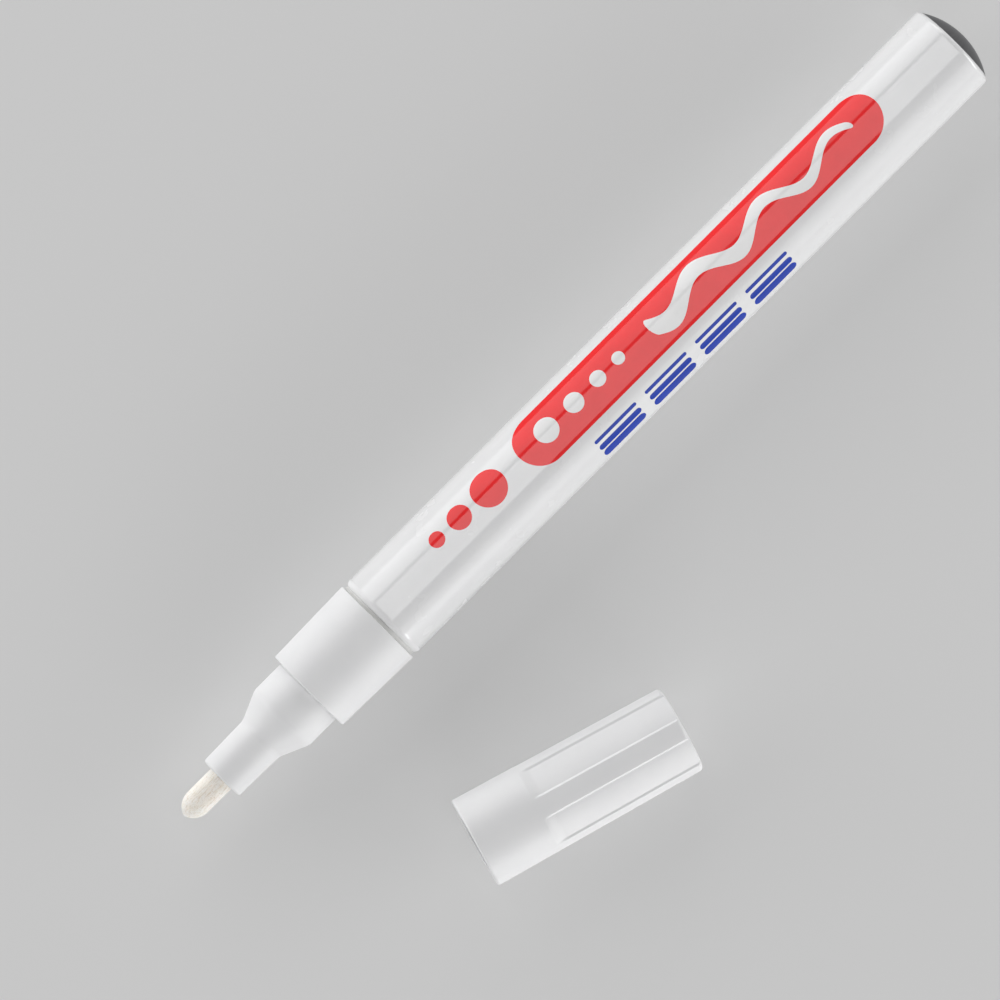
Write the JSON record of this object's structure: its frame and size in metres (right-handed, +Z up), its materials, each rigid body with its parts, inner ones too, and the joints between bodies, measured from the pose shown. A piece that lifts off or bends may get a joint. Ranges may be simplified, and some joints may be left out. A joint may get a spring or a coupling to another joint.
{
  "type": "paint marker",
  "caption": "Slim valve-fed paint marker with a fibre bullet nib, white lacquered metal barrel and a fluted push-on cap lying beside it.",
  "frame": {"origin": "middle of the barrel's straight wall, on the barrel's axis", "axes": "+X along the barrel to the nib, +Z up with the marker lying on its side, +Y to the side where the cap lies"},
  "size_m": [0.134, 0.0467, 0.0122],
  "materials": {
    "barrel_lacquer": "gloss",
    "gasket": "satin",
    "white_moulding": "satin",
    "nib_fibre": "felted fibre",
    "valve_rubber": "matte",
    "valve_plastic": "satin",
    "spring_steel": "drawn wire",
    "ball_steel": "polished",
    "liner_plastic": "satin"
  },
  "bodies": {
    "marker": {"barrel": "barrel_lacquer", "barrel_gasket": "gasket", "front_section": "white_moulding", "valve_seat": "valve_rubber", "valve_cage": "valve_plastic", "valve_spring": "spring_steel"},
    "nib_and_stem": {"nib": "nib_fibre", "valve_stem": "valve_plastic"},
    "ball": {"mixing_ball": "ball_steel"},
    "cap": {"cap_shell": "white_moulding", "cap_liner": "liner_plastic"}
  },
  "joints": [
    {"name": "nib_press", "type": "slide", "parent": "marker", "child": "nib_and_stem", "axis": [-1, 0, 0], "range_m": [0, 0.0012], "stiffness_N_per_m": 400, "springref_m": -0.002, "deforming": ["valve_spring"]},
    {"name": "ball_roll", "type": "slide", "parent": "marker", "child": "ball", "axis": [1, 0, 0], "range_m": [0, 0.07745]},
    {"name": "cap_pull", "type": "slide", "parent": "marker", "child": "cap", "axis": [-0.9608, 0.2773, 0], "range_m": [0, 0.0215]}
  ]
}
